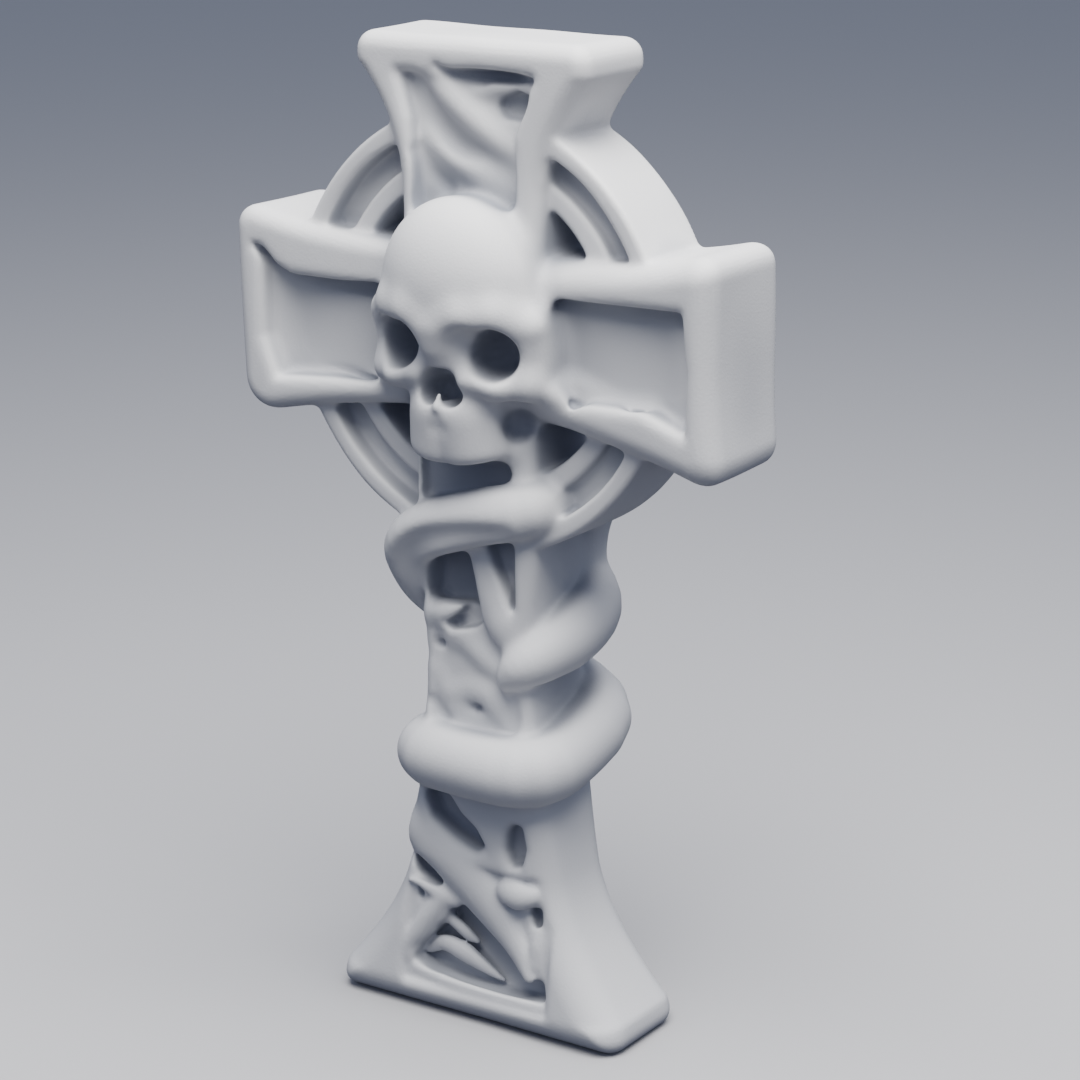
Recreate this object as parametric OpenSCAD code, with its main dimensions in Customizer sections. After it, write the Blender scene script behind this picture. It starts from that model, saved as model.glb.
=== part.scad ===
// Ringed cross memorial: a free-standing cross with a pierced ring, a skull at
// the crossing and a serpent wound round the shaft, carved from one block.
// The front faces -Y, and the origin is the middle of the underside.

/* [Overall] */
// Height from the ground to the top of the crown
total_h = 900; // [820:10:1100]
// Height of the middle of the crossing
cross_z = 645; // [620:5:700]
// Span of the arms from tip to tip
arm_span = 500; // [440:10:640]

/* [Shaft] */
// Width of the flared foot
foot_w = 316; // [270:2:380]
// Depth of the foot from front to back
foot_d = 130; // [110:2:180]
// Width of the shaft at the ground if the foot did not flare
skirt_w = 226; // [190:2:240]
// Height over which the foot flares out
kick_h = 150; // [110:5:190]
// height of the blunt edge under the flare
toe_h = 26; // [14:2:40]
// Width of the shaft where it is narrowest
waist_w = 110; // [96:2:130]
// Height of the narrowest place
waist_z = 345; // [320:5:380]
// Width of the shaft under the arms
shoulder_w = 128; // [116:2:146]
// Depth of the shaft from front to back
shaft_d = 100; // [90:2:120]
// Radius of the long edges
edge_r = 12; // [6:1:18]

/* [Crown] */
// Width of the neck between the arms and the crown
neck_w = 148; // [130:2:176]
// Width of the crown at the top
crown_w = 242; // [210:2:280]
// Height over which the crown flares out
crown_flare_h = 108; // [90:2:120]
// Height of the crown's upright edge above the flare
crown_face = 24; // [14:2:34]

/* [Arms] */
// Height of each arm beside the crossing
arm_h = 146; // [130:2:170]
// Height of each arm at its end
arm_end_h = 194; // [174:2:230]
// Depth of each arm at its end
arm_end_d = 124; // [110:2:150]

/* [Ring] */
// Outer radius of the ring
ring_r = 196; // [185:1:212]
// Width of the raised outer rim
ring_rim = 18; // [12:1:24]
// Width of the hollow between the rim and the inner band
ring_hollow = 22; // [14:1:28]
// Width of the inner band
ring_band = 20; // [14:1:26]
// Depth of the ring from front to back
ring_d = 86; // [70:1:96]
// How far the inner band stands back from the rim
band_back = 9; // [4:1:14]
// Depth of the hollow
hollow_back = 20; // [14:1:26]

/* [Panels] */
// Depth of the sunk panels
panel_depth = 14; // [8:1:18]
// Width of the border round the shaft and crown panels
shaft_rim = 15; // [10:1:20]
// Width of the border round the arm panels
arm_rim = 36; // [24:1:42]
// Height of the plain band under the foot panel
foot_band = 34; // [24:1:46]
// Width of the carved straps
strap_w = 20; // [14:1:26]

/* [Skull] */
// Width of the skull across the brows
skull_w = 160; // [140:2:180]
// Height of the skull from teeth to crown
skull_h = 222; // [196:2:250]
// How far the skull stands out of the shaft
skull_out = 62; // [50:1:72]

/* [Serpent] */
// Thickness of the serpent's body where it is fattest
serpent_w = 64; // [52:1:72]
// Thickness of the coil under the skull
coil_w = 50; // [40:1:58]

/* [Hidden] */
stone = [0.85, 0.85, 0.86];

// Small tools
function clamp01(t) = min(1, max(0, t));
function mix(a, b, t) = a + (b - a) * t;
function ease(t) = let (s = clamp01(t)) s * s * (3 - 2 * s);
// Catmull-Rom interpolation between p1 and p2
function spline(p0, p1, p2, p3, t) =
    0.5 * (2 * p1 + (p2 - p0) * t + (2 * p0 - 5 * p1 + 4 * p2 - p3) * t * t
           + (3 * p1 - p0 - 3 * p2 + p3) * t * t * t);
// A smooth run through the stations of a route, with n steps between two stations
function smooth_route(s, n) = let (last = len(s) - 1) [
    for (i = [0 : last - 1], k = [0 : n - 1])
        spline(s[max(0, i - 1)], s[i], s[i + 1], s[min(last, i + 2)], k / n),
    s[last]];

// A rectangle with round corners: w and d are half sizes, r the corner radius
function round_rect(w, d, r) = let (q = min(r, 0.9 * w, 0.9 * d)) [
    for (corner = [[1, 1, 0], [-1, 1, 90], [-1, -1, 180], [1, -1, 270]], a = [0 : 30 : 90])
        [corner[0] * (w - q) + q * cos(corner[2] + a), corner[1] * (d - q) + q * sin(corner[2] + a)]];

// A closed skin over rings of points that all have the same number of points
module skin(rings) {
    m = len(rings[0]);
    n = len(rings);
    polyhedron(
        points = [for (ring = rings, p = ring) p],
        faces = concat(
            [[for (j = [0 : m - 1]) j]],
            [for (i = [0 : n - 2], j = [0 : m - 1]) let (k = (j + 1) % m)
                each [[i * m + j, (i + 1) * m + j, (i + 1) * m + k], [i * m + j, (i + 1) * m + k, i * m + k]]],
            [[for (j = [m - 1 : -1 : 0]) (n - 1) * m + j]]));
}

// The upright
// Height over which the shaft widens from its narrowest place to the shoulders
shoulder_rise = 120;
// Half the width of the upright at height z
function half_w(z) = z < waist_z
    ? waist_w / 2 + (skirt_w - waist_w) / 2 * pow(1 - z / waist_z, 1.35)
        + (foot_w - skirt_w) / 2 * pow(clamp01((kick_h - z) / (kick_h - toe_h)), 1.8)
    : z < cross_z
    ? mix(waist_w, shoulder_w, ease((z - waist_z) / shoulder_rise)) / 2
    : mix(shoulder_w, neck_w, ease((z - cross_z) / (arm_h / 2))) / 2
        + (crown_w - neck_w) / 2 * pow(clamp01((z - total_h + crown_flare_h + crown_face) / crown_flare_h), 2);
// Half its depth at height z
foot_flare_z = 200;
function half_d(z) = shaft_d / 2 + (foot_d - shaft_d) / 2 * pow(clamp01(1 - z / foot_flare_z), 2);
// How much a rounded end takes off, t from the end
function round_off(t) = t >= edge_r ? 0 : edge_r - sqrt(edge_r * edge_r - pow(edge_r - t, 2));

upright_steps = 30;
upright_z = concat(
    [0, edge_r * 0.3, edge_r],
    [for (i = [1 : upright_steps]) mix(edge_r, total_h - edge_r, i / upright_steps)],
    [total_h - edge_r * 0.3, total_h]);

module upright() {
    skin([for (z = upright_z) let (cut = round_off(min(z, total_h - z)))
        [for (p = round_rect(half_w(z) - cut, half_d(z) - cut, edge_r)) [p[0], p[1], z]]]);
}

// The arms
function arm_share(x) = clamp01((abs(x) - neck_w / 2) / (arm_span / 2 - neck_w / 2));
function half_h(x) = mix(arm_h, arm_end_h, pow(arm_share(x), 1.2)) / 2;
function half_arm_d(x) = mix(shaft_d, arm_end_d, arm_share(x)) / 2;

arm_steps = 12;
arm_x = concat(
    [-arm_span / 2, -arm_span / 2 + edge_r * 0.3],
    [for (i = [0 : arm_steps]) mix(-arm_span / 2 + edge_r, arm_span / 2 - edge_r, i / arm_steps)],
    [arm_span / 2 - edge_r * 0.3, arm_span / 2]);

module arms() {
    skin([for (x = arm_x) let (cut = round_off(arm_span / 2 - abs(x)))
        [for (p = round_rect(half_arm_d(x) - cut, half_h(x) - cut, edge_r)) [x, p[0], cross_z + p[1]]]]);
}

// The ring
hole_r = ring_r - ring_rim - ring_hollow - ring_band;
ring_edge = 5;

module ring() {
    front = ring_d / 2;
    half = [
        [ring_r, 0],
        [ring_r, front - ring_edge], [ring_r - ring_edge, front],
        [ring_r - ring_rim + ring_edge, front], [ring_r - ring_rim, front - hollow_back],
        [hole_r + ring_band, front - hollow_back], [hole_r + ring_band - ring_edge, front - band_back],
        [hole_r + ring_edge, front - band_back], [hole_r, front - band_back - ring_edge],
        [hole_r, 0]];
    translate([0, 0, cross_z])
        rotate([90, 0, 0])
            rotate_extrude($fn = 96)
                polygon(concat(half, [for (i = [len(half) - 1 : -1 : 0]) [half[i][0], -half[i][1]]]));
}

// The sunk panels
panel_floor = shaft_d / 2 - panel_depth;
crown_band = 24;
shaft_panel_z = [262, cross_z - arm_h / 2 - 12];
foot_panel_z = [foot_band, 222];
crown_panel_z = [cross_z + arm_h / 2 - 20, total_h - crown_band];

// The foot's panel keeps nearly upright sides where the foot flares
function foot_panel_w(z) = min(half_w(z) - shaft_rim, mix(82, 62, clamp01((z - 90) / 130)));
// The crown's panel widens much less than the crown does
crown_panel_w = [54, 68];
function panel_w(z) = z < foot_panel_z[1] ? foot_panel_w(z)
    : z < crown_panel_z[0] ? half_w(z) - shaft_rim
    : mix(crown_panel_w[0], crown_panel_w[1], ease((z - crown_panel_z[0]) / (crown_panel_z[1] - crown_panel_z[0])));

// Cuts one panel into the upright between two heights, on the front or the back
module upright_panel(span, side) {
    n = 8;
    outline = [for (i = [0 : n]) let (z = mix(span[0], span[1], i / n)) [panel_w(z), z]];
    cut_w = foot_d;
    mirror([0, side > 0 ? 1 : 0, 0])
        translate([0, -panel_floor, 0])
            rotate([90, 0, 0])
                linear_extrude(cut_w)
                    polygon(concat(outline, [for (i = [n : -1 : 0]) [-outline[i][0], outline[i][1]]]));
}

// Cuts one panel into an arm, from beside the skull to the end's border
module arm_panel(hand, side) {
    inner = neck_w / 2 - edge_r;
    outer = arm_span / 2 - arm_rim;
    mirror([hand < 0 ? 1 : 0, 0, 0])
        mirror([0, side > 0 ? 1 : 0, 0])
            translate([0, -panel_floor, cross_z])
                rotate([90, 0, 0])
                    linear_extrude(foot_d)
                        polygon([
                            [inner, half_h(inner) - arm_rim], [outer, half_h(outer) - arm_rim],
                            [outer, arm_rim - half_h(outer)], [inner, arm_rim - half_h(inner)]]);
}

module panels() {
    for (side = [-1, 1]) {
        upright_panel(crown_panel_z, side);
        upright_panel(shaft_panel_z, side);
        upright_panel(foot_panel_z, side);
        for (hand = [-1, 1])
            arm_panel(hand, side);
    }
}

// Carved straps
// Each strap is a route over a panel: across from -1 to 1, up from 0 to 1
strap_rise = 7;
strap_steps = 4;
strap_sides = 8;
crown_straps = [
    [[-0.95, 1.0], [-0.45, 0.82], [0.1, 0.55], [0.7, 0.3], [0.95, 0.02]],
    [[-0.8, 0.05], [-0.62, 0.35], [-0.3, 0.62]],
    [[0.95, 0.98], [0.7, 0.66], [0.75, 0.34]]];
shaft_straps = [
    [[-0.95, 0.02], [-0.4, 0.16], [0.2, 0.3], [0.9, 0.42]],
    [[-0.95, 0.4], [-0.5, 0.3], [0.0, 0.17], [0.9, 0.03]],
    [[0.3, 0.98], [0.25, 0.72], [0.4, 0.5], [0.6, 0.42]],
    [[-0.9, 0.2], [-0.75, 0.34], [-0.2, 0.44], [0.2, 0.4]]];
foot_straps = [
    [[-1.0, 0.9], [-0.6, 0.7], [0.1, 0.42], [0.6, 0.22], [0.85, 0.06]],
    [[0.95, 0.98], [0.45, 0.78], [0.62, 0.6], [0.9, 0.5]],
    [[-0.98, 0.66], [-0.62, 0.48], [-0.94, 0.3], [-0.94, 0.12], [-0.4, 0.07], [0.5, 0.05]],
    [[-0.55, 0.16], [-0.2, 0.34], [0.3, 0.14], [-0.5, 0.13]]];

// A low oval strap that follows its route over the panel's floor
module strap(route, span, w) {
    r = smooth_route(route, strap_steps);
    mid = [for (q = r) let (z = mix(span[0], span[1], q[1])) [q[0] * panel_w(z), z]];
    n = len(mid) - 1;
    rings = [for (i = [0 : n])
        let (
            d = mid[min(n, i + 1)] - mid[max(0, i - 1)],
            across = [-d[1], d[0]] / norm(d),
            taper = sqrt(max(0.1, 1 - pow(2 * i / n - 1, 6))))
        [for (k = [0 : strap_sides - 1]) let (a = 360 * k / strap_sides)
            [mid[i][0] + across[0] * w / 2 * taper * cos(a),
             -panel_floor - strap_rise * taper * sin(a),
             mid[i][1] + across[1] * w / 2 * taper * cos(a)]]];
    skin(rings);
}

module straps() {
    for (s = crown_straps)
        strap(s, crown_panel_z, strap_w * 1.1);
    for (s = shaft_straps)
        strap(s, shaft_panel_z, strap_w);
    for (s = foot_straps)
        strap(s, foot_panel_z, strap_w);
}

// The skull
// The skull is a signed distance: blended ovals and bars, with hollows taken out
function smooth_min(a, b, k) = let (h = max(k - abs(a - b), 0) / k) min(a, b) - h * h * k / 4;
function smooth_cut(a, b, k) = -smooth_min(-a, b, k);
function oval(p, c, r) = let (
        q = [for (i = [0 : 2]) (p[i] - c[i]) / r[i]],
        s = [for (i = [0 : 2]) q[i] / r[i]])
    norm(q) * (norm(q) - 1) / max(norm(s), 0.001);
function bar(p, a, b, r) = let (t = clamp01((p - a) * (b - a) / ((b - a) * (b - a))))
    norm(p - mix(a, b, t)) - r;

// Distances below are for the right half, in units of the skull's own size:
// x over half the width, y outwards from the shaft's face, z up from the eyes
sw = skull_w / 2;
so = skull_out;
sh = skull_h;
function skull_bone(p) = let (
        cranium = oval(p, [0, 0.16 * so, 0.24 * sh], [0.87 * sw, 0.85 * so, 0.325 * sh]),
        brow = bar(p, [0.1 * sw, 0.86 * so, 0.11 * sh], [0.86 * sw, 0.52 * so, 0.11 * sh], 0.14 * sw),
        rim = bar(p, [0.86 * sw, 0.46 * so, 0.1 * sh], [0.83 * sw, 0.34 * so, -0.12 * sh], 0.13 * sw),
        cheek = bar(p, [0.5 * sw, 0.66 * so, -0.16 * sh], [0.85 * sw, 0.3 * so, -0.14 * sh], 0.14 * sw),
        bridge = bar(p, [0, 0.66 * so, 0.08 * sh], [0, 0.76 * so, -0.08 * sh], 0.16 * sw),
        jaw = oval(p, [0, 0.3 * so, -0.28 * sh], [0.5 * sw, 0.5 * so, 0.17 * sh]),
        face = oval(p, [0, 0.2 * so, -0.05 * sh], [0.9 * sw, 0.5 * so, 0.17 * sh]),
        b1 = smooth_min(cranium, brow, 14),
        b2 = smooth_min(b1, smooth_min(rim, cheek, 10), 12),
        b3 = smooth_min(b2, smooth_min(bridge, jaw, 14), 14))
    smooth_min(b3, face, 14);
function skull_hollows(p) = let (
        eye = oval(p, [0.58 * sw, 0.66 * so, -0.01 * sh], [0.3 * sw, 0.46 * so, 0.105 * sh]),
        nose = oval(p, [0.13 * sw, 0.86 * so, -0.18 * sh], [0.13 * sw, 0.34 * so, 0.075 * sh]),
        under = oval(p, [0.74 * sw, 0.34 * so, -0.3 * sh], [0.22 * sw, 0.5 * so, 0.085 * sh]))
    min(eye, nose, under);
function skull_at(p) = let (q = [abs(p[0]), p[1], p[2]])
    smooth_cut(skull_bone(q), skull_hollows(q), 6);

// How far the skull reaches from its middle in a given direction, found from outside inwards
skull_slices = [0.1, 0.3, 0.5, 0.7];
function shadow(x, z) = min([for (y = skull_slices) skull_bone([abs(x), y * so, z])]);
function outline_at(dir, r, n) = let (f = shadow(dir[0] * r, dir[1] * r))
    n == 0 || f < 0.1 ? r : outline_at(dir, r - max(0.7 * f, 0.3), n - 1);
// How far the skull stands out of the shaft's face at a place, found from the front inwards
function height_at(x, z, y, n) = let (f = skull_at([x, y, z]))
    n == 0 || y < 0.5 ? max(y, 0.5)
    : f < 0.1 ? y
    : height_at(x, z, y - max(0.7 * f, 0.3), n - 1);

skull_root = 22;
skull_rings = 24;
skull_turn = 44;
skull_front = skull_out * 1.4;

// Rings run from the middle of the face out to its outline, and the last sinks into the shaft
module skull() {
    outline = [for (j = [0 : skull_turn - 1]) let (turn = -360 * j / skull_turn)
        [cos(turn), sin(turn)] * outline_at([cos(turn), sin(turn)], skull_h, 90)];
    face = [for (i = [1 : skull_rings]) [for (q = outline) let (p = q * (i - 0.5) / (skull_rings - 0.5))
        [p[0], height_at(p[0], p[1], skull_front, 60), p[1]]]];
    root = [for (q = outline) [q[0], -skull_root, q[1]]];
    skin([for (ring = concat(face, [root]))
        [for (p = ring) [p[0], -shaft_d / 2 - p[1], cross_z + p[2]]]]);
}

// The serpent
// Stations of the body: angle round the shaft from the front, height,
// how far the middle of the body stands off the shaft's face, and its radius
fat = serpent_w / 2;
thin = coil_w / 2;
serpent_stations = [
    [-215, 190, -6, 6], [-190, 208, -4, 18], [-160, 224, -4, 26], [-125, 238, -4, fat],
    [-90, 247, -5, fat], [-45, 251, -2, fat], [0, 252, 3, fat], [45, 254, 6, fat],
    [90, 263, 9, fat], [135, 288, 15, fat], [180, 326, 6, fat - 4], [220, 354, 4, fat - 6],
    [250, 372, 12, thin], [275, 400, 21, thin], [298, 436, 18, thin], [322, 464, 10, thin],
    [360, 480, 7, thin], [395, 491, 6, thin], [430, 500, 2, thin], [465, 500, 0, thin],
    [488, 480, 5, thin], [500, 450, 6, thin], [500, 414, 7, thin + 2], [482, 386, 11, fat - 2],
    [455, 370, 10, fat - 2], [432, 362, 6, fat - 5], [412, 352, 3, fat - 11], [399, 339, 1, 12]];
serpent_steps = 3;
serpent_sides = 12;

// A point beside the upright, at an angle round it and a distance off its face
function beside(a, z, off) = let (
        w = half_w(z) + off,
        d = half_d(z) + off,
        far = pow(pow(abs(sin(a)) / w, 4) + pow(abs(cos(a)) / d, 4), -0.25))
    [far * sin(a), -far * cos(a), z];

module serpent() {
    s = smooth_route(serpent_stations, serpent_steps);
    n = len(s) - 1;
    mid = [for (q = s) beside(q[0], q[1], q[2])];
    rings = [for (i = [0 : n])
        let (
            d = mid[min(n, i + 1)] - mid[max(0, i - 1)],
            along = d / norm(d),
            out = [mid[i][0], mid[i][1], 0],
            side0 = out - along * (out * along),
            side = side0 / norm(side0),
            up = cross(along, side))
        [for (k = [0 : serpent_sides - 1]) let (a = 360 * k / serpent_sides)
            mid[i] + s[i][3] * (side * cos(a) + up * sin(a))]];
    skin(rings);
}

// The whole stone
module ringed_cross() {
    color(stone)
        union() {
            difference() {
                union() {
                    upright();
                    arms();
                    ring();
                }
                panels();
            }
            straps();
            skull();
            serpent();
        }
}

ringed_cross();
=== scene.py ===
import math

import bpy
import numpy as np
import openvdb
from mathutils import Matrix, Vector


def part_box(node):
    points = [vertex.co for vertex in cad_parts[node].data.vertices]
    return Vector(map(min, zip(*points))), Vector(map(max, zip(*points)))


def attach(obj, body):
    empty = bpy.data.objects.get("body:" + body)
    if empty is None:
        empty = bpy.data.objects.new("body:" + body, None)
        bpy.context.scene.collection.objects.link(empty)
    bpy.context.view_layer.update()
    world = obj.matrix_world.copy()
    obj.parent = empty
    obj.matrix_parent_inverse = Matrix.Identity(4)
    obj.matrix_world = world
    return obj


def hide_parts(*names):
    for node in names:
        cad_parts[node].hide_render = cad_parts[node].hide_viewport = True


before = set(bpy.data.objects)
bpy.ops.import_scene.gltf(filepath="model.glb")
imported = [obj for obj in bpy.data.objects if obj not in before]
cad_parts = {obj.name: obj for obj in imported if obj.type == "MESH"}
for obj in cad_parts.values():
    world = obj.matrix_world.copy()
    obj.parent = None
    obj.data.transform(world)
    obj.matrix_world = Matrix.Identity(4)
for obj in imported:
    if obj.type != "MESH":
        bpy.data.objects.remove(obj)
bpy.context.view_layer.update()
stoneLow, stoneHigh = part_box("ringed_cross")
mm = 0.001

# The whole stone is carved as one distance field, in millimetres: below 0 inside, above 0 outside.
# Forward distances run from the middle of the stone towards the viewer, along -Y.
carving = {
    "voxel": 2.2,
    "margin": 26.0,
    "farAway": 60.0,
    "sweepRoom": 14.0,
    "melt": 2,
    "wobble": 0.6,
    "triangles": 190000,
}
voxel = carving["voxel"]
gridLow = [v / mm - carving["margin"] for v in stoneLow]
gridHigh = [v / mm + carving["margin"] for v in stoneHigh]
gridAxes = [np.arange(a, b, voxel, dtype=np.float32) for a, b in zip(gridLow, gridHigh)]
field = np.full([len(a) for a in gridAxes], carving["farAway"], np.float32)


# tools that shape the field
def ease(t):
    s = np.clip(t, 0, 1)
    return s * s * (3 - 2 * s)


def smoothMin(a, b, k):
    h = np.maximum(k - np.abs(a - b), 0) / k
    return np.minimum(a, b) - h * h * k / 4


def smoothMax(a, b, k):
    return -smoothMin(-a, -b, k)


def roundMax(a, b, r):
    # where both slabs meet there is a round edge of radius r
    out = np.hypot(np.maximum(a + r, 0), np.maximum(b + r, 0))
    return np.minimum(np.maximum(a, b), -r) + out


def window(low, high):
    # the part of the grid between two corners, with its x, forward and z distances
    parts = []
    for axis, (a, b) in enumerate(zip(low, high)):
        first = int(math.floor((a - gridLow[axis]) / voxel))
        last = int(math.ceil((b - gridLow[axis]) / voxel)) + 1
        parts.append(slice(max(0, first), min(len(gridAxes[axis]), last)))
    x = gridAxes[0][parts[0]][:, None, None]
    f = -gridAxes[1][parts[1]][None, :, None]
    z = gridAxes[2][parts[2]][None, None, :]
    return tuple(parts), x, f, z


def around(points, reach):
    # a window round some (x, forward, z) points
    p = np.asarray(points, float)
    low, high = p.min(0) - reach, p.max(0) + reach
    return window((low[0], -high[1], low[2]), (high[0], -low[1], high[2]))


def add(part, shape, k):
    field[part] = smoothMin(field[part], shape, k)


def cut(part, shape, k):
    field[part] = smoothMax(field[part], -shape, k)


def oval(x, f, z, middle, radii):
    q = [(v - c) / r for v, c, r in zip((x, f, z), middle, radii)]
    s = [v / r for v, r in zip(q, radii)]
    far = np.sqrt(q[0] ** 2 + q[1] ** 2 + q[2] ** 2)
    return far * (far - 1) / np.maximum(np.sqrt(s[0] ** 2 + s[1] ** 2 + s[2] ** 2), 1e-4)


def bar(x, f, z, a, b, ra, rb):
    # a round bar from a to b whose radius goes from ra to rb
    d = [q - p for p, q in zip(a, b)]
    size = max(sum(v * v for v in d), 1e-6)
    t = np.clip(((x - a[0]) * d[0] + (f - a[1]) * d[1] + (z - a[2]) * d[2]) / size, 0, 1)
    far = (x - a[0] - t * d[0]) ** 2 + (f - a[1] - t * d[1]) ** 2 + (z - a[2] - t * d[2]) ** 2
    return np.sqrt(far) - (ra + (rb - ra) * t)


def outlineOf(x, z, points):
    # the distance to a closed outline on the face, below 0 inside it
    far = np.float32(1e6)
    inside = np.zeros(np.broadcast(x, z).shape, bool)
    for (ax, az), (bx, bz) in zip(points, points[1:] + points[:1]):
        ex, ez = bx - ax, bz - az
        px, pz = x - ax, z - az
        t = np.clip((px * ex + pz * ez) / (ex * ex + ez * ez), 0, 1)
        far = np.minimum(far, np.hypot(px - t * ex, pz - t * ez))
        if ez:
            inside ^= ((z >= az) != (z >= bz)) & (px < pz * ex / ez)
    return np.where(inside, -far, far)


def smoothRoute(stations, steps):
    # a Catmull-Rom run through the stations
    s = np.asarray(stations, float)
    s = np.vstack([2 * s[0] - s[1], s, 2 * s[-1] - s[-2]])
    out = []
    for i in range(1, len(s) - 2):
        for j in range(steps):
            t = j / steps
            out.append(0.5 * (2 * s[i] + (s[i + 1] - s[i - 1]) * t
                       + (2 * s[i - 1] - 5 * s[i] + 4 * s[i + 1] - s[i + 2]) * t * t
                       + (3 * s[i] - s[i - 1] - 3 * s[i + 1] + s[i + 2]) * t ** 3))
    out.append(s[-2])
    return np.array(out)


def sweep(rows, flat=1.0):
    # the distance to a run of (x, forward, z, radius) rows; flat below 1 presses it flatter
    rows = np.asarray(rows, float)
    reach = rows[:, 3].max() + carving["sweepRoom"]
    part, x, f, z = around(rows[:, :3], reach)
    shape = np.full(field[part].shape, carving["farAway"], np.float32)
    start = [s.start for s in part]
    for a, b in zip(rows[:-1], rows[1:]):
        piece, px, pf, pz = around([a[:3], b[:3]], reach)
        local = tuple(slice(s.start - o, s.stop - o) for s, o in zip(piece, start))
        near = bar(px, pf / flat, pz, (a[0], a[1] / flat, a[2]), (b[0], b[1] / flat, b[2]), a[3], b[3])
        shape[local] = np.minimum(shape[local], near)
    return part, shape


# the cross itself, in millimetres
block = {
    "height": stoneHigh.z / mm,
    "crossHeight": 645.0,
    "edge": 15.0,
    "corner": 17.0,
    "footWidth": 316.0,
    "footDepth": 130.0,
    "footFlare": 200.0,
    "footEdge": 30.0,
    "footEdgeHeight": 130.0,
    "skirtWidth": 226.0,
    "skirtCurve": 1.35,
    "kickHeight": 150.0,
    "kickCurve": 1.8,
    "toeHeight": 26.0,
    "waistWidth": 110.0,
    "waistHeight": 345.0,
    "shoulderWidth": 128.0,
    "shoulderRise": 120.0,
    "shaftDepth": 100.0,
    "neckWidth": 148.0,
    "crownWidth": 243.0,
    "crownFlare": 108.0,
    "crownFace": 26.0,
    "armSpan": (stoneHigh.x - stoneLow.x) / mm,
    "armHeight": 146.0,
    "armEndHeight": 194.0,
    "armEndDepth": 124.0,
    "armTopBend": 2.2,
    "armUnderBend": 1.2,
    "armTopCorner": 24.0,
    "armBlend": 8.0,
}

# what differs between the left and the right arm: the round of the lower corner and of the edges,
# how far the underside sags at its end, and how far the end leans in at the bottom
armPair = {
    "underCorner": (36.0, 30.0),
    "edge": (15.0, 22.0),
    "sag": (5.0, 10.0),
    "lean": (2.0, -4.0),
}


def halfWidth(z):
    # half the upright's width at a height: foot, shaft, then neck and crown
    b = block
    spread = np.clip(1 - z / b["waistHeight"], 0, 1) ** b["skirtCurve"]
    foot = b["waistWidth"] + (b["skirtWidth"] - b["waistWidth"]) * spread
    kick = np.clip((b["kickHeight"] - z) / (b["kickHeight"] - b["toeHeight"]), 0, 1)
    foot = foot + (b["footWidth"] - b["skirtWidth"]) * kick ** b["kickCurve"]
    rise = ease((z - b["waistHeight"]) / b["shoulderRise"])
    shaft = b["waistWidth"] + (b["shoulderWidth"] - b["waistWidth"]) * rise
    turn = ease((z - b["crossHeight"]) / (b["armHeight"] / 2))
    neck = b["shoulderWidth"] + (b["neckWidth"] - b["shoulderWidth"]) * turn
    start = b["height"] - b["crownFlare"] - b["crownFace"]
    flare = (b["crownWidth"] - b["neckWidth"]) * np.clip((z - start) / b["crownFlare"], 0, 1) ** 2
    return np.where(z < b["waistHeight"], foot, np.where(z < b["crossHeight"], shaft, neck + flare)) / 2


def halfDepth(z):
    b = block
    flare = np.clip(1 - z / b["footFlare"], 0, 1) ** 2
    return (b["shaftDepth"] + (b["footDepth"] - b["shaftDepth"]) * flare) / 2


def armShare(x):
    # 0 at the neck, 1 at the end of an arm
    neck = block["neckWidth"] / 2
    return np.clip((np.abs(x) - neck) / (block["armSpan"] / 2 - neck), 0, 1)


def halfArmHeight(x, bend):
    b = block
    return (b["armHeight"] + (b["armEndHeight"] - b["armHeight"]) * armShare(x) ** bend) / 2


def halfArmDepth(x):
    b = block
    return (b["shaftDepth"] + (b["armEndDepth"] - b["shaftDepth"]) * armShare(x)) / 2


def carveUpright():
    part, x, f, z = window(gridLow, gridHigh)
    slope = np.gradient(halfWidth(gridAxes[2]), voxel)
    lean = (1 / np.sqrt(1 + slope ** 2)).astype(np.float32)[None, None, :]
    side = (np.abs(x) - halfWidth(z)) * lean
    ends = np.maximum(z - block["height"], -z)
    outline = roundMax(side, ends, block["corner"])
    low = ease(2 - z / block["footEdgeHeight"])
    edge = block["edge"] + (block["footEdge"] - block["edge"]) * low
    field[part] = roundMax(outline, np.abs(f) - halfDepth(z), edge)


def carveArms():
    b = block
    reach = b["armEndHeight"] / 2 + 20
    part, x, f, z = window((gridLow[0], gridLow[1], b["crossHeight"] - reach),
                           (gridHigh[0], gridHigh[1], b["crossHeight"] + reach))
    up = z - b["crossHeight"]
    underCorner, edge, sag, lean = [np.where(x < 0, *pair) for pair in armPair.values()]
    low = halfArmHeight(x, b["armUnderBend"]) + sag * armShare(x) ** 2
    tall = np.where(up > 0, halfArmHeight(x, b["armTopBend"]), low)
    corner = np.where(up > 0, b["armTopCorner"], underCorner)
    lean = lean * np.clip(-up / b["armHeight"] * 2, 0, 1.4) ** 2
    outline = roundMax(np.abs(up) - tall, np.abs(x) - b["armSpan"] / 2 + lean, corner)
    add(part, roundMax(outline, np.abs(f) - halfArmDepth(x), edge), b["armBlend"])


# the ring, by its outer radius and the widths of its rim, channel and band
ring = {
    "outer": 196.0,
    "rim": 18.0,
    "hollow": 22.0,
    "band": 20.0,
    "depth": 86.0,
    "bandBack": 9.0,
    "bandLap": 4.0,
    "hollowBack": 22.0,
    "edge": 2.0,
    "soft": 3.0,
    "join": 5.0,
}


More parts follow.
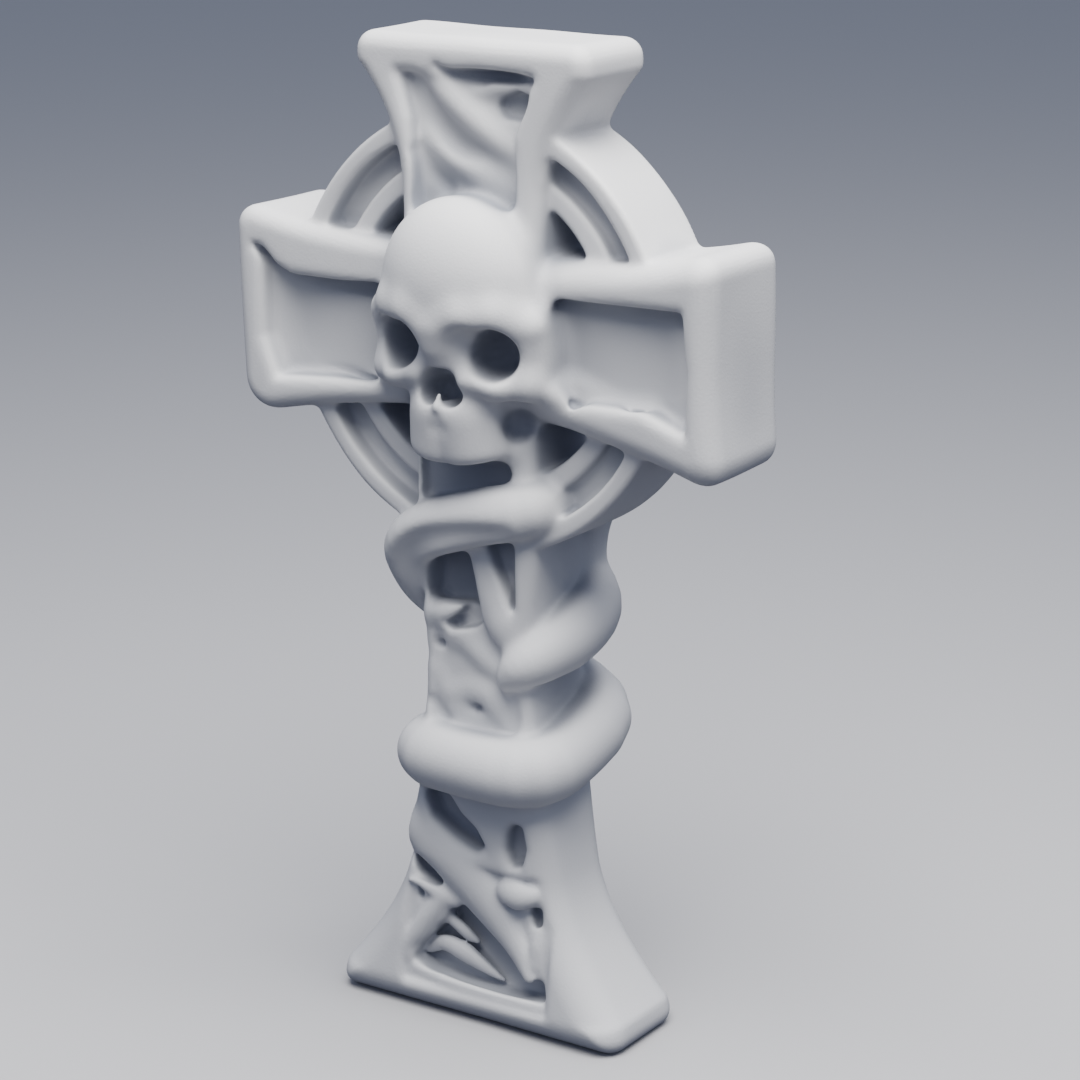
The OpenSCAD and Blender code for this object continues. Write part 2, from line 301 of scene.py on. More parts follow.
def carveRing():
    r = ring
    reach = r["outer"] + 16
    middle = block["crossHeight"]
    part, x, f, z = window((-reach, -r["depth"], middle - reach), (reach, r["depth"], middle + reach))
    far = np.hypot(x, z - middle)
    front = r["depth"] / 2
    inner = r["outer"] - r["rim"] - r["hollow"] - r["band"]
    hoop = roundMax(roundMax(far - r["outer"], inner - far, r["edge"]), np.abs(f) - front, r["soft"])
    band = r["outer"] - r["rim"] - r["hollow"]
    lowered = roundMax(far - band - r["bandLap"], front - r["bandBack"] - np.abs(f), r["soft"])
    groove = roundMax(np.abs(far - band - r["hollow"] / 2) - r["hollow"] / 2,
                      front - r["hollowBack"] - np.abs(f), r["soft"])
    hoop = smoothMax(smoothMax(hoop, -lowered, r["edge"]), -groove, r["soft"])
    add(part, hoop, r["join"])


# the sunk panels: how deep they are, the plain stone left round them, and their round edges
panel = {
    "depth": 14.0,
    "rim": 15.0,
    "corner": 8.0,
    "soft": 6.0,
    "lip": 12.0,
    "crownBand": 26.0,
    "crownLap": 20.0,
    "shaftGap": 12.0,
    "shaftBottom": 262.0,
    "footTop": 150.0,
    "footBand": 27.0,
    "armRim": 38.0,
    "armEnd": 24.0,
    "armInset": 14.0,
    "armCorner": 6.0,
    "armLip": 14.0,
    "rampFrom": 188.0,
    "rampLong": 42.0,
    "rampRise": 10.0,
}
panelFloor = block["shaftDepth"] / 2 - panel["depth"]
footPanel = {"middle": 4.0, "half": 79.0, "deep": 7.0, "corner": 4.0, "lip": 8.0}


def sinkUpright(bottom, top):
    # a plain panel at the back of the upright
    deep = block["footDepth"]
    part, x, f, z = window((-140, -deep, bottom - 20), (140, deep, top + 20))
    middle = (bottom + top) / 2
    side = np.abs(x) - halfWidth(z) + panel["rim"]
    outline = roundMax(side, np.abs(z - middle) - (top - bottom) / 2, panel["corner"])
    cut(part, roundMax(outline, panelFloor + f, panel["soft"]), panel["lip"])


def sinkFoot(back=False):
    # the panel's floor follows the face, which leans forward at the foot
    p = footPanel
    bottom, top = panel["footBand"], panel["footTop"]
    deep = block["footDepth"]
    part, x, f, z = window((-120, -deep, bottom - 20), (120, deep, top + 20))
    out = -f if back else f
    across = np.maximum(np.abs(x - p["middle"]) - p["half"], np.abs(x) - halfWidth(z) + panel["rim"])
    outline = roundMax(across, np.abs(z - (bottom + top) / 2) - (top - bottom) / 2, p["corner"])
    sunk = panel["depth"] if back else p["deep"]
    cut(part, roundMax(outline, halfDepth(z) - sunk - out, p["corner"]), p["lip"])


def sinkArms():
    # the plain panels at the back of the arms
    b = block
    deep = b["footDepth"]
    part, x, f, z = window((gridLow[0], -deep, b["crossHeight"] - 90),
                           (gridHigh[0], deep, b["crossHeight"] + 90))
    inner = b["neckWidth"] / 2 - panel["armInset"]
    outer = b["armSpan"] / 2 - panel["armEnd"]
    across = np.abs(np.abs(x) - (inner + outer) / 2) - (outer - inner) / 2
    up = np.abs(z - b["crossHeight"]) - (halfArmHeight(x, b["armUnderBend"]) - panel["armRim"])
    outline = roundMax(across, up, panel["armCorner"])
    cut(part, roundMax(outline, panelFloor + f, panel["soft"]), panel["armLip"])


def sinkPanels():
    b = block
    underArms = b["crossHeight"] - b["armHeight"] / 2 - panel["shaftGap"]
    overArms = b["crossHeight"] + b["armHeight"] / 2 - panel["crownLap"]
    sinkUpright(overArms, b["height"] - panel["crownBand"])
    sinkUpright(panel["shaftBottom"], underArms)
    sinkFoot()
    sinkFoot(True)
    sinkArms()


# hollows cut into the front to an outline: how far forward their floor lies (or how deep it is
# below the leaning foot), the round of their edges, how softly they open, then x and z points
patches = {
    "crown": (35, 6, 12, [(-72, 866), (-61, 828), (-58, 790), (-58, 730), (46, 730), (48, 785), (47, 819),
                          (56, 843), (66, 870)]),
    "leftArm": (34, 8, 11, [(-221, 698), (-208, 684), (-190, 677), (-60, 675), (-60, 592), (-150, 588),
                            (-208, 584), (-221, 620)]),
    "rightArm": (33, 7, 11, [(60, 689), (90, 684), (219, 689), (224, 640), (223, 588), (180, 601),
                             (150, 600), (108, 600), (60, 606)]),
    "underJaw": (35, 5, 5, [(-58, 545), (42, 545), (44, 510), (20, 504), (-54, 490)]),
    "shaft": (44, 5, 8, [(-46, 384), (-20, 392), (14, 384), (44, 352), (50, 300), (40, 268), (-46, 268)]),
    "leftCavity": (20, 5, 5, [(-52, 448), (-9, 456), (1, 446), (5, 428), (8, 409), (4, 397), (-13, 398),
                              (-33, 392), (-47, 384), (-54, 400)]),
    "rightCavity": (32, 4, 5, [(14, 462), (42, 472), (45, 462), (45, 429), (45, 402), (41, 394),
                               (31, 420), (22, 441)]),
}
latePatches = {
    "crownPit": (24, 4, 5, [(27, 850), (45, 857), (61, 853), (58, 843), (49, 832), (31, 833), (23, 842)]),
    "dark": (33, 4, 6, [(-7, 398), (6, 404), (10, 388), (0, 379), (-24, 373), (-30, 380), (-16, 389)]),
}
footPatches = {
    "wedge": (25, 5, 13, [(-60, 214), (-48, 189), (-24, 174), (0, 166), (9, 171), (-2, 186),
                          (-18, 197), (-32, 215)]),
    "right": (20, 4, 10, [(34, 190), (40, 199), (50, 199), (54, 178), (50, 161), (38, 159), (32, 173)]),
    "topLeft": (27, 3, 4, [(-77, 145), (-66, 148), (-50, 140), (-38, 127), (-43, 120), (-57, 124),
                           (-68, 129)]),
    "sliver": (15, 2, 3, [(-67, 122), (-62, 118), (-61, 105), (-66, 105)]),
    "deep": (30, 4, 4, [(-29, 109), (-13, 109), (8, 96), (33, 80), (50, 60), (76, 56), (80, 36), (32, 33),
                        (-14, 34), (-51, 38), (-69, 46), (-62, 60), (-48, 75), (-35, 92)]),
    "besideKnob": (22, 2, 3, [(56, 122), (69, 124), (71, 104), (62, 102)]),
    "rightBar": (12, 3, 5, [(30, 112), (44, 114), (56, 92), (62, 72), (54, 70), (40, 88)]),
}


def sinkPatches(group):
    # a ramp brings the floor forward near the ends of the arms
    for floor, edge, soft, points in group.values():
        xs, zs = [q[0] for q in points], [q[1] for q in points]
        part, x, f, z = window((min(xs) - 20, -80, min(zs) - 20), (max(xs) + 20, -floor + 20, max(zs) + 20))
        ramp = panel["rampRise"] * ease((np.abs(x) - panel["rampFrom"]) / panel["rampLong"])
        cut(part, roundMax(outlineOf(x, z, points), floor + ramp - f, edge), soft)


def sinkFootPatches():
    for deep, edge, soft, points in footPatches.values():
        xs, zs = [q[0] for q in points], [q[1] for q in points]
        part, x, f, z = window((min(xs) - 16, -90, min(zs) - 16), (max(xs) + 16, -20, max(zs) + 16))
        cut(part, roundMax(outlineOf(x, z, points), halfDepth(z) - deep - f, edge), soft)


# the carved straps: rows of x, forward, z and radius
straps = {
    "soft": 10.0,
    "softFoot": 4.0,
    "steps": 5,
    "sideGap": 3.0,
    "sideSoft": 6.0,
    "flat": {"crown": 1.0, "shaft": 1.0, "arm": 1.0, "foot": 0.62},
    "crown": [
        [(-46, 30, 870, 13), (-26, 31, 852, 15), (0, 31, 832, 16), (24, 30, 815, 13), (42, 27, 802, 7)],
        [(-48, 26, 812, 10), (-24, 28, 798, 13), (4, 28, 784, 13), (32, 26, 770, 9)],
        [(6, 30, 857, 9), (32, 32, 862, 8), (56, 32, 861, 7)],
    ],
    "shaft": [
        [(2, 35, 452, 11), (12, 36, 424, 12), (24, 38, 400, 14), (30, 39, 384, 14), (32, 36, 368, 9)],
        [(-44, 36, 384, 12), (-24, 39, 382, 15), (-6, 35, 379, 10)],
        [(-44, 34, 360, 8), (-14, 36, 364, 11), (10, 35, 350, 12), (30, 34, 338, 10)],
        [(-42, 32, 330, 11), (-30, 33, 312, 12), (-8, 33, 318, 11), (16, 34, 314, 13), (34, 32, 288, 12)],
        [(-22, 33, 296, 9), (-12, 33, 284, 10), (14, 33, 284, 10)],
    ],
    "arm": [
        [(78, 27, 614, 8), (104, 29, 610, 9), (128, 28, 603, 8), (152, 27, 598, 7), (178, 26, 602, 7)],
    ],
    "foot": [
        [(-88, 38, 188, 19), (-58, 38, 167, 22), (-20, 39, 145, 24), (8, 40, 124, 23), (26, 42, 107, 20),
         (41, 46, 89, 14), (53, 49, 73, 10), (62, 53, 58, 6)],
        [(35, 49, 135, 10), (47, 52, 134, 13), (59, 48, 135, 10)],
        [(68, 44, 102, 5), (67, 48, 88, 7), (66, 50, 70, 6)],
        [(-76, 50, 122, 3), (-62, 49, 121, 4.5), (-46, 47, 115, 6), (-26, 42, 108, 6)],
        [(-38, 46, 112, 7), (-51, 48, 94, 9), (-63, 50, 76, 9), (-73, 52, 60, 7), (-73, 53, 46, 5)],
        [(-62, 36, 50, 5), (-42, 38, 63, 9), (-19, 38, 58, 10), (8, 37, 47, 7), (28, 35, 38, 4)],
        [(-46, 34, 100, 5), (-37, 36, 89, 7), (-20, 36, 79, 7), (-5, 34, 70, 4)],
        [(-72, 51, 37, 5), (-20, 53, 32, 6), (30, 53, 31, 6), (76, 54, 32, 5)],
    ],
}


def carveStraps():
    for place, flat in straps["flat"].items():
        for rows in straps[place]:
            part, shape = sweep(smoothRoute(rows, straps["steps"]), flat)
            x, z = gridAxes[0][part[0]][:, None, None], gridAxes[2][part[2]][None, None, :]
            if place != "arm":
                # a strap stops just short of the side of the upright
                shape = smoothMax(shape, np.abs(x) - halfWidth(z) + straps["sideGap"], straps["sideSoft"])
            add(part, shape, straps["softFoot"] if place == "foot" else straps["soft"])


# deeper pits between the straps: middle, radii
pits = {
    "soft": 5.0,
    "ovals": [
        [(20, 48, 868), (46, 22, 6)],
        [(0, 50, 302), (9, 14, 4)],
        [(-38, 50, 357), (6, 12, 6)],
        [(38, 57, 121), (6, 9, 3)],
    ],
}

# furrows: how softly they open, and rows of x, forward, z and radius
furrows = {
    "slotEnd": (6, [(-32, 46, 875, 2), (-16, 42, 868, 4), (10, 38, 866, 6)]),
    "crownUpper": (8, [(-54, 46, 858, 5), (-47, 42, 839, 8), (-34, 40, 822, 8), (-14, 40, 806, 7),
                       (8, 42, 800, 4)]),
    "crownLower": (7, [(-56, 44, 800, 4), (-46, 40, 781, 6), (-27, 38, 768, 6)]),
    "leftArmTop": (6, [(-228, 56, 702, 3), (-215, 48, 690, 6), (-192, 40, 678, 8), (-150, 38, 674, 10),
                       (-90, 38, 672, 10)]),
    "rightArmTop": (6, [(70, 40, 685, 7), (130, 38, 681, 10), (180, 38, 682, 10), (216, 42, 684, 9)]),
    "coil": (12, [(50, 80, 476, 7), (4, 85, 470, 10), (-30, 82, 460, 12), (-53, 75, 441, 13),
                  (-62, 66, 418, 13), (-57, 58, 400, 9)]),
    "rightCurl": (3, [(93, 43, 602, 3), (108, 44, 596, 5), (123, 43, 602, 3)]),
    "farCurl": (3, [(157, 43, 601, 3), (171, 45, 597, 5), (184, 43, 604, 3)]),
    "leftCurl": (4, [(-170, 38, 594, 3), (-140, 36, 592, 4), (-110, 36, 586, 4)]),
    "leftCrease": (5, [(-48, 48, 302, 4), (-38, 47, 291, 6), (-26, 48, 279, 4)]),
    "underTip": (4, [(41, 67, 352, 3), (45, 68, 341, 5), (52, 66, 329, 5)]),
    "footSlit": (3, [(-43, 44, 82, 2), (-32, 43, 76, 4), (-20, 44, 69, 2)]),
}
furrowSteps = 4


def digPits():
    for middle, radii in pits["ovals"]:
        part, x, f, z = around([middle], max(radii) + 12)
        cut(part, oval(x, f, z, middle, radii), pits["soft"])


def digFurrows(names):
    for name in names:
        soft, rows = furrows[name]
        part, shape = sweep(smoothRoute(rows, furrowSteps))
        cut(part, shape, soft)


# the skull, as one half: x from its middle, forward, and z from the line of the eyes
skull = {
    "eyeHeight": 645.0,
    "middle": 60.0,
    "reach": 130.0,
    "soft": 17.0,
    "cranium": [(0, 60, 46), (75, 52, 76)],
    "temple": [(0, 54, 18), (86, 44, 36)],
    "brow": [(5, 99, 17, 9), (28, 98, 28, 9), (52, 88, 30, 9), (74, 68, 19, 9)],
    "rim": [(76, 66, 18, 9), (73, 64, 0, 9), (72, 64, -24, 10)],
    "bridge": [(0, 98, 14, 10), (0, 99, -2, 7), (0, 94, -18, 7)],
    "cheek": [(26, 88, -29, 10), (52, 80, -33, 12), (72, 66, -33, 12), (84, 46, -40, 12)],
    "face": [(0, 54, -14), (80, 38, 44)],
    "side": [(66, 40, -6), (26, 30, 40)],
    "maxilla": [(10, 62, -62), (36, 37, 34)],
    "jaw": [(14, 58, -92), (35, 36, 36)],
    "teeth": 108.0,
    "teethRise": 0.0032,
    "bowl": [(35, 111, -1), (19, 27, 21)],
    "eye": [(54, 100, -4, 23), (43, 54, -8, 18)],
    "noseLobe": [(11, 104, -41, 12), (10, 56, -47, 10)],
    "noseTop": [(0, 100, -30), (16, 34, 10)],
    "spine": [(0, 84, -35, 2), (0, 93, -44, 2.8), (0, 98, -55, 4.5)],
    "underCheek": [(69, 80, -62, 9), (59, 60, -70, 12), (55, 50, -74, 14)],
    "dimple": [(0, 108, -75), (12, 11, 8)],
}
# how softly the links of each chain knit, and how softly each part joins the rest
knit = {"brow": 8, "rim": 6, "cheek": 8, "bridge": 8, "eye": 4, "noseLobe": 4, "spine": 4, "underCheek": 4}
join = {
    "temple": 20,
    "brow": 18,
    "sides": 12,
    "bridge": 12,
    "face": 12,
    "mouth": 14,
    "teeth": 7,
    "bowl": 9,
    "eye": 6,
    "noseTop": 9,
    "nose": 3,
    "spine": 4,
    "dimple": 7,
    "underCheek": 1,
    "opening": 7,
}


def chain(x, f, z, rows, k):
    # bars joined end to end and blended
    whole = None
    for a, b in zip(rows[:-1], rows[1:]):
        one = bar(x, f, z, a[:3], b[:3], a[3], b[3])
        whole = one if whole is None else smoothMin(whole, one, k)
    return whole


def carveSkull():
    s = skull
    part, x, f, z = around([(0, s["middle"], s["eyeHeight"])], s["reach"])
    x = np.abs(x)
    z = z - s["eyeHeight"]

    def ovalOf(name):
        return oval(x, f, z, *s[name])

    def chainOf(name):
        return chain(x, f, z, s[name], knit[name])

    bone = smoothMin(ovalOf("cranium"), ovalOf("temple"), join["temple"])
    bone = smoothMin(bone, chainOf("brow"), join["brow"])
    sides = smoothMin(chainOf("rim"), chainOf("cheek"), join["sides"])
    bone = smoothMin(bone, sides, join["sides"])
    bone = smoothMin(bone, chainOf("bridge"), join["bridge"])
    bone = smoothMin(bone, smoothMin(ovalOf("face"), ovalOf("side"), join["face"]), join["face"])
    mouth = smoothMin(ovalOf("maxilla"), ovalOf("jaw"), join["mouth"])
    bone = smoothMin(bone, mouth, join["mouth"])
    bone = smoothMax(bone, -(z + s["teeth"] - s["teethRise"] * x * x), join["teeth"])
    bone = smoothMax(bone, -ovalOf("bowl"), join["bowl"])
    eyeHole = chainOf("eye")
    bone = smoothMax(bone, -eyeHole, join["eye"])
    nose = smoothMin(chainOf("noseLobe"), ovalOf("noseTop"), join["noseTop"])
    bone = smoothMax(bone, -nose, join["nose"])
    bone = smoothMin(bone, chainOf("spine"), join["spine"])
    bone = smoothMax(bone, -ovalOf("dimple"), join["dimple"])
    add(part, bone, s["soft"])
    # the hollows under the cheeks and the eyes go on into the stone behind
    cut(part, smoothMin(chainOf("underCheek"), eyeHole, join["underCheek"]), join["opening"])


# the serpent: its radius where it is fat and thin, and how softly it joins the stone
serpent = {
    "fat": 32.0,
    "thin": 25.0,
    "soft": 7.0,
    "steps": 4,
}


def serpentStations():
    # tail to head: angle round the upright from the front, height, stand-off and radius
    fat, thin = serpent["fat"], serpent["thin"]
    return [
        (-215, 190, -6, 6), (-190, 208, -4, 18), (-160, 224, -4, 26), (-125, 238, -4, fat),
        (-90, 247, -5, fat), (-45, 251, -2, fat), (0, 252, 3, fat), (45, 254, 6, fat),
        (90, 263, 9, fat), (135, 288, 15, fat), (180, 326, 6, fat - 4), (220, 354, 4, fat - 6),
        (250, 372, 12, thin), (275, 400, 18, thin), (298, 436, 13, thin), (322, 464, 7, thin),
        (360, 480, 7, thin), (395, 491, 6, thin), (430, 500, 2, thin), (465, 500, 0, thin),
        (488, 480, 7, thin), (500, 450, 9, thin), (500, 414, 8, thin + 2), (482, 386, 11, fat - 2),
        (455, 370, 10, fat - 2), (432, 362, 6, fat - 5), (412, 352, 3, fat - 11),
        (400, 340, 2, 12), (397, 329, 0, 5)]


def beside(angle, z, off):
    # a point beside the upright, at an angle round it and a distance off its face
    w = halfWidth(z) + off
    d = halfDepth(z) + off
    s, c = math.sin(math.radians(angle)), math.cos(math.radians(angle))
    far = ((abs(s) / w) ** 4 + (abs(c) / d) ** 4) ** -0.25
    return far * s, far * c, z


def carveSerpent():
    route = smoothRoute(serpentStations(), serpent["steps"])
    rows = [(*beside(a, z, off), r) for a, z, off, r in route]
    part, shape = sweep(rows)
    add(part, shape, serpent["soft"])


def melt(values, passes):
    # soften every edge a little
    for _ in range(passes):
        for axis in range(3):
            v = np.swapaxes(values, 0, axis)
            v[1:-1] = (v[:-2] + 2 * v[1:-1] + v[2:]) / 4
    return values


def wobble(amount):
    # slight waves in the faces, as hand work leaves them, but none where the foot meets the ground
    part, x, f, z = window(gridLow, gridHigh)
    waves = np.sin(x / 27 + f / 41) * np.cos(z / 33 - x / 60) + np.sin(z / 52 + f / 24) * np.cos(x / 45)
    field[part] += (amount * waves * np.clip(z / 20, 0, 1)).astype(np.float32)


def skinField():
    band = 3 * voxel  # how far each side of the skin the field is kept
    grid = openvdb.FloatGrid(background=band)
    grid.copyFromArray(np.clip(field, -band, band).astype(float), tolerance=0.0)
    points, quads = grid.convertToQuads(isovalue=0.0)
    points = (points * voxel + np.array(gridLow)) * mm
    mesh = bpy.data.meshes.new("ringed_cross_stone")
    mesh.from_pydata(points.tolist(), [], quads.tolist())
    return mesh


# how closed in each point of the skin is, kept on the mesh to paint shade into the stone's colour in its
# hollows and to lighten its most open edges
closeness = {"near": (2, 5.0), "wide": (6, 12.0), "broad": (14, 24.0)}


def spread(values, reach):
    # three box averages a way, close to a round blur
    for _ in range(3):
        for axis in range(3):
            v = np.swapaxes(values, 0, axis)
            ends = np.concatenate([np.repeat(v[:1], reach + 1, 0), v, np.repeat(v[-1:], reach, 0)])
            total = np.cumsum(ends, axis=0, dtype=np.float64)
            v[:] = (total[2 * reach + 1:] - total[:-2 * reach - 1]) / (2 * reach + 1)
    return values


def sampleAt(values, points):
    # the field's value at points between its own
    at = (points / mm - np.array(gridLow)) / voxel
    low = np.clip(np.floor(at).astype(int), 0, np.array(values.shape) - 2)
    part = np.clip(at - low, 0, 1)
    out = 0
    for corner in np.ndindex(2, 2, 2):
        share = np.prod(np.where(corner, part, 1 - part), axis=1)
        out = out + share * values[tuple((low + corner).T)]
    return out


def markCloseness(mesh):
    count = len(mesh.vertices)
    points, normals = np.zeros(count * 3), np.zeros(count * 3)
    mesh.vertices.foreach_get("co", points)
    mesh.vertices.foreach_get("normal", normals)
    points, normals = points.reshape(-1, 3), normals.reshape(-1, 3)
    filled = np.clip(0.5 - field / voxel, 0, 1).astype(np.float32)
    for name, (reach, off) in closeness.items():
        spread(filled, reach)
        mark = mesh.attributes.new(name, "FLOAT", "POINT")
        values = sampleAt(filled, points + normals * off * mm).astype(np.float32)
        mark.data.foreach_set("value", values)


print("carving the cross")
carveUpright()
carveArms()
carveRing()
sinkPanels()
sinkPatches(patches)
sinkFootPatches()
print("carving the relief")
carveStraps()
sinkPatches(latePatches)
digPits()
digFurrows(["slotEnd", "crownUpper", "crownLower", "leftArmTop", "rightArmTop"])
digFurrows(["rightCurl", "farCurl", "leftCurl", "leftCrease", "footSlit"])
print("carving the skull and the serpent")
carveSkull()
carveSerpent()
digFurrows(["coil", "underTip"])
wobble(carving["wobble"])
melt(field, carving["melt"])

print("taking the skin of the stone")
stoneMesh = skinField()
stone = bpy.data.objects.new("ringed_cross_stone", stoneMesh)
bpy.context.scene.collection.objects.link(stone)
bpy.context.view_layer.objects.active = stone
print("quads", len(stoneMesh.polygons))
thin = stone.modifiers.new("thin", "DECIMATE")
thin.ratio = min(1.0, carving["triangles"] / (2 * len(stoneMesh.polygons)))
bpy.context.view_layer.update()
done = bpy.data.meshes.new_from_object(stone.evaluated_get(bpy.context.evaluated_depsgraph_get()))
stone.modifiers.clear()
stone.data = done
done.shade_smooth()
print("triangles", sum(len(p.vertices) - 2 for p in done.polygons))

markCloseness(done)


# the stone: pale marble, with painted shade that makes its hollows darker and cooler, its most open edges
# lighter, a fine grain
look = {
    "pale": (0.82, 0.82, 0.825, 1),
    # painted shade: the darker, cooler colour the hollows are tinted towards
    "deep": (0.35, 0.37, 0.41, 1),
    # the tone the most open edges are lightened towards
    "openEdgeTone": (0.9, 0.9, 0.89, 1),
    "roughness": 0.62,
    "specular": 0.3,
    "broadRange": (0.24, 0.51),
    "wideRange": (0.24, 0.66),
    "nearRange": (0.22, 0.52),
    "edgeRange": (0.16, 0.02),
    "grainScale": 420.0,
    "grainDetail": 3,
    "grainHeight": 0.0003,
    "grainStrength": 0.5,
    "cloudScale": 9.0,
    "cloudDetail": 4,
    "cloudRange": (0.3, 0.8),
    "cloudShare": 0.12,
    "cloudTone": (0.68, 0.69, 0.72, 1),
}


def newGroup(name, inputs, outputs):
    group = bpy.data.node_groups.new(name, "ShaderNodeTree")
    for label, kind in inputs:
        group.interface.new_socket(label, in_out="INPUT", socket_type=kind)
    for label, kind in outputs:
        group.interface.new_socket(label, in_out="OUTPUT", socket_type=kind)
    return group, group.nodes.new("NodeGroupInput"), group.nodes.new("NodeGroupOutput")


def mapRange(nodes, low, high, to=1.0):
    n = nodes.new("ShaderNodeMapRange")
    n.interpolation_type = "SMOOTHSTEP"
    n.inputs["From Min"].default_value = low
    n.inputs["From Max"].default_value = high
    n.inputs["To Max"].default_value = to
    return n


def paintedShadeAndEdgeGroup():
    # how much painted shade a point gets: 0 on open faces, 1 deep inside a hollow
    group, _, out = newGroup("hollows", [], [("PaintedShade", "NodeSocketFloat"), ("Edge", "NodeSocketFloat")])
    nodes, links = group.nodes, group.links
    paintedShadeMask = None
    for name in closeness:
        reading = nodes.new("ShaderNodeAttribute")
        reading.attribute_name = name
        share = mapRange(nodes, *look[name + "Range"])
        links.new(reading.outputs["Fac"], share.inputs["Value"])
        if name == "near":
            edge = mapRange(nodes, *look["edgeRange"])
            links.new(reading.outputs["Fac"], edge.inputs["Value"])
            links.new(edge.outputs["Result"], out.inputs["Edge"])
            paintedShadeMask = share.outputs["Result"]
            continue
        deeper = nodes.new("ShaderNodeMath")
        deeper.operation = "MAXIMUM"
        links.new(paintedShadeMask, deeper.inputs[0])
        links.new(share.outputs["Result"], deeper.inputs[1])
        paintedShadeMask = deeper.outputs["Value"]
    links.new(paintedShadeMask, out.inputs["PaintedShade"])
    return group


def grainGroup():
    # fine grain for the bump and slow clouds for the tone, in Object coordinates
    group, _, out = newGroup("grain", [], [("Grain", "NodeSocketFloat"), ("Cloud", "NodeSocketFloat")])
    nodes, links = group.nodes, group.links
    place = nodes.new("ShaderNodeTexCoord")
    fine, slow = nodes.new("ShaderNodeTexNoise"), nodes.new("ShaderNodeTexNoise")
    fine.inputs["Scale"].default_value = look["grainScale"]
    fine.inputs["Detail"].default_value = look["grainDetail"]
    slow.inputs["Scale"].default_value = look["cloudScale"]
    slow.inputs["Detail"].default_value = look["cloudDetail"]
    links.new(place.outputs["Object"], fine.inputs["Vector"])
    links.new(place.outputs["Object"], slow.inputs["Vector"])
    links.new(fine.outputs["Fac"], out.inputs["Grain"])
    links.new(slow.outputs["Fac"], out.inputs["Cloud"])
    return group


def blend(nodes, links, fac, under, over):
    n = nodes.new("ShaderNodeMix")
    n.data_type = "RGBA"
    links.new(fac, n.inputs["Factor"])
    for socket, value in ((n.inputs[6], under), (n.inputs[7], over)):
        if isinstance(value, tuple):
            socket.default_value = value
        else:
            links.new(value, socket)
    return n.outputs[2]


def makeStone():
    material = bpy.data.materials.new("stone")
    material.use_nodes = True
    nodes, links = material.node_tree.nodes, material.node_tree.links
    bsdf = nodes["Principled BSDF"]
    bsdf.inputs["Roughness"].default_value = look["roughness"]
    bsdf.inputs["Specular IOR Level"].default_value = look["specular"]
    hollows, grain = nodes.new("ShaderNodeGroup"), nodes.new("ShaderNodeGroup")
    hollows.node_tree, grain.node_tree = paintedShadeAndEdgeGroup(), grainGroup()
    cloud = mapRange(nodes, *look["cloudRange"], look["cloudShare"])
    links.new(grain.outputs["Cloud"], cloud.inputs["Value"])
    tone = blend(nodes, links, cloud.outputs["Result"], look["pale"], look["cloudTone"])
    # the most open edges are made a little lighter
    tone = blend(nodes, links, hollows.outputs["Edge"], tone, look["openEdgeTone"])
    # painted shade: the hollows are darkened and cooled towards the deep colour
    tone = blend(nodes, links, hollows.outputs["PaintedShade"], tone, look["deep"])
    links.new(tone, bsdf.inputs["Base Color"])
    bump = nodes.new("ShaderNodeBump")
    bump.inputs["Distance"].default_value = look["grainHeight"]
    bump.inputs["Strength"].default_value = look["grainStrength"]
    links.new(grain.outputs["Grain"], bump.inputs["Height"])
    links.new(bump.outputs["Normal"], bsdf.inputs["Normal"])
    return material


print("colouring the stone")
done.materials.clear()
done.materials.append(makeStone())
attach(stone, "root")
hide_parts("ringed_cross")

# the floor is pale to the camera, but throws little light back up at the stone
studio = {
    "floorSize": 60,
    "floorTone": (0.55, 0.55, 0.56, 1),
    "floorRoughness": 0.9,
    "floorBounce": (0.05, 0.055, 0.07, 1),
    "lampAim": (0, 0, 0.45),
    "lampAzimuth": 48,
    "lampElevation": 71,
    "lampDistance": 2.8,
    "lampSize": 2.6,
    "lampWatts": 174,
    "lampTone": (1, 0.98, 0.95),
    "skyTone": (0.62, 0.74, 1.0, 1),
    "skyStrength": 0.31,
}


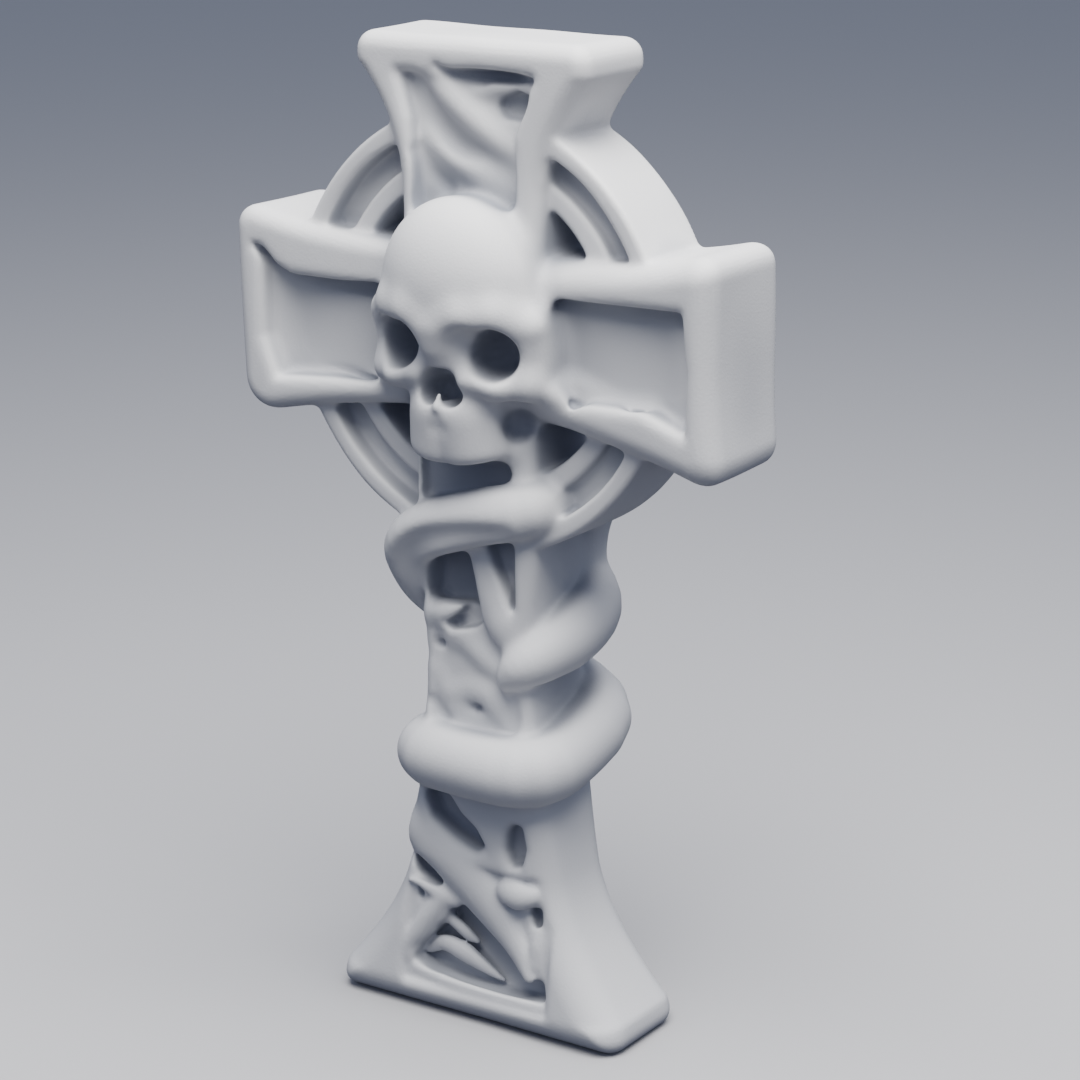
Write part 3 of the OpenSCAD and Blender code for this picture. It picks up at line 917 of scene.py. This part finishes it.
def makeFloor():
    bpy.ops.mesh.primitive_plane_add(size=studio["floorSize"])
    floor = bpy.context.object
    floor.name = "floor"
    material = bpy.data.materials.new("floor")
    material.use_nodes = True
    nodes, links = material.node_tree.nodes, material.node_tree.links
    bsdf = nodes["Principled BSDF"]
    bsdf.inputs["Base Color"].default_value = studio["floorTone"]
    bsdf.inputs["Roughness"].default_value = studio["floorRoughness"]
    bounce = nodes.new("ShaderNodeBsdfDiffuse")
    bounce.inputs["Color"].default_value = studio["floorBounce"]
    rayKind, choice = nodes.new("ShaderNodeLightPath"), nodes.new("ShaderNodeMixShader")
    links.new(rayKind.outputs["Is Camera Ray"], choice.inputs["Fac"])
    links.new(bounce.outputs["BSDF"], choice.inputs[1])
    links.new(bsdf.outputs["BSDF"], choice.inputs[2])
    links.new(choice.outputs["Shader"], nodes["Material Output"].inputs["Surface"])
    floor.data.materials.append(material)


camera = {
    "azimuth": 34.35,
    "elevation": 16.15,
    "distance": 2.7932,
    "target": (0.04035, 0, 0.45479),
    "roll": -0.29,
    "lens": 105.0,
    "sensor": 36,
}


def aim(azimuth, elevation):
    # the direction from the stone towards a place round it, azimuth 0 in front
    a, e = math.radians(azimuth), math.radians(elevation)
    return Vector((math.sin(a) * math.cos(e), -math.cos(a) * math.cos(e), math.sin(e)))


def addCamera():
    data = bpy.data.cameras.new("camera")
    data.lens = camera["lens"]
    data.sensor_width = camera["sensor"]
    shot = bpy.data.objects.new("camera", data)
    bpy.context.scene.collection.objects.link(shot)
    back = aim(camera["azimuth"], camera["elevation"])
    right = Vector((0, 0, 1)).cross(back).normalized()
    up = back.cross(right)
    r = math.radians(camera["roll"])
    turnedRight = right * math.cos(r) + up * math.sin(r)
    turnedUp = up * math.cos(r) - right * math.sin(r)
    place = Matrix((turnedRight, turnedUp, back)).transposed().to_4x4()
    place.translation = Vector(camera["target"]) + back * camera["distance"]
    shot.matrix_world = place
    bpy.context.scene.camera = shot


def addLamp():
    data = bpy.data.lights.new("overhead", "AREA")
    data.size = studio["lampSize"]
    data.energy = studio["lampWatts"]
    data.color = studio["lampTone"]
    light = bpy.data.objects.new("overhead", data)
    bpy.context.scene.collection.objects.link(light)
    towards = aim(studio["lampAzimuth"], studio["lampElevation"])
    light.location = Vector(studio["lampAim"]) + towards * studio["lampDistance"]
    light.rotation_mode = "QUATERNION"
    light.rotation_quaternion = towards.to_track_quat("Z", "Y")


def addSky():
    world = bpy.data.worlds.new("studio")
    bpy.context.scene.world = world
    world.use_nodes = True
    world.node_tree.nodes["Background"].inputs["Color"].default_value = studio["skyTone"]
    world.node_tree.nodes["Background"].inputs["Strength"].default_value = studio["skyStrength"]


print("setting up the floor, the lamp and the camera")
makeFloor()
addCamera()
addLamp()
addSky()
bpy.context.scene.view_settings.view_transform = "Filmic"
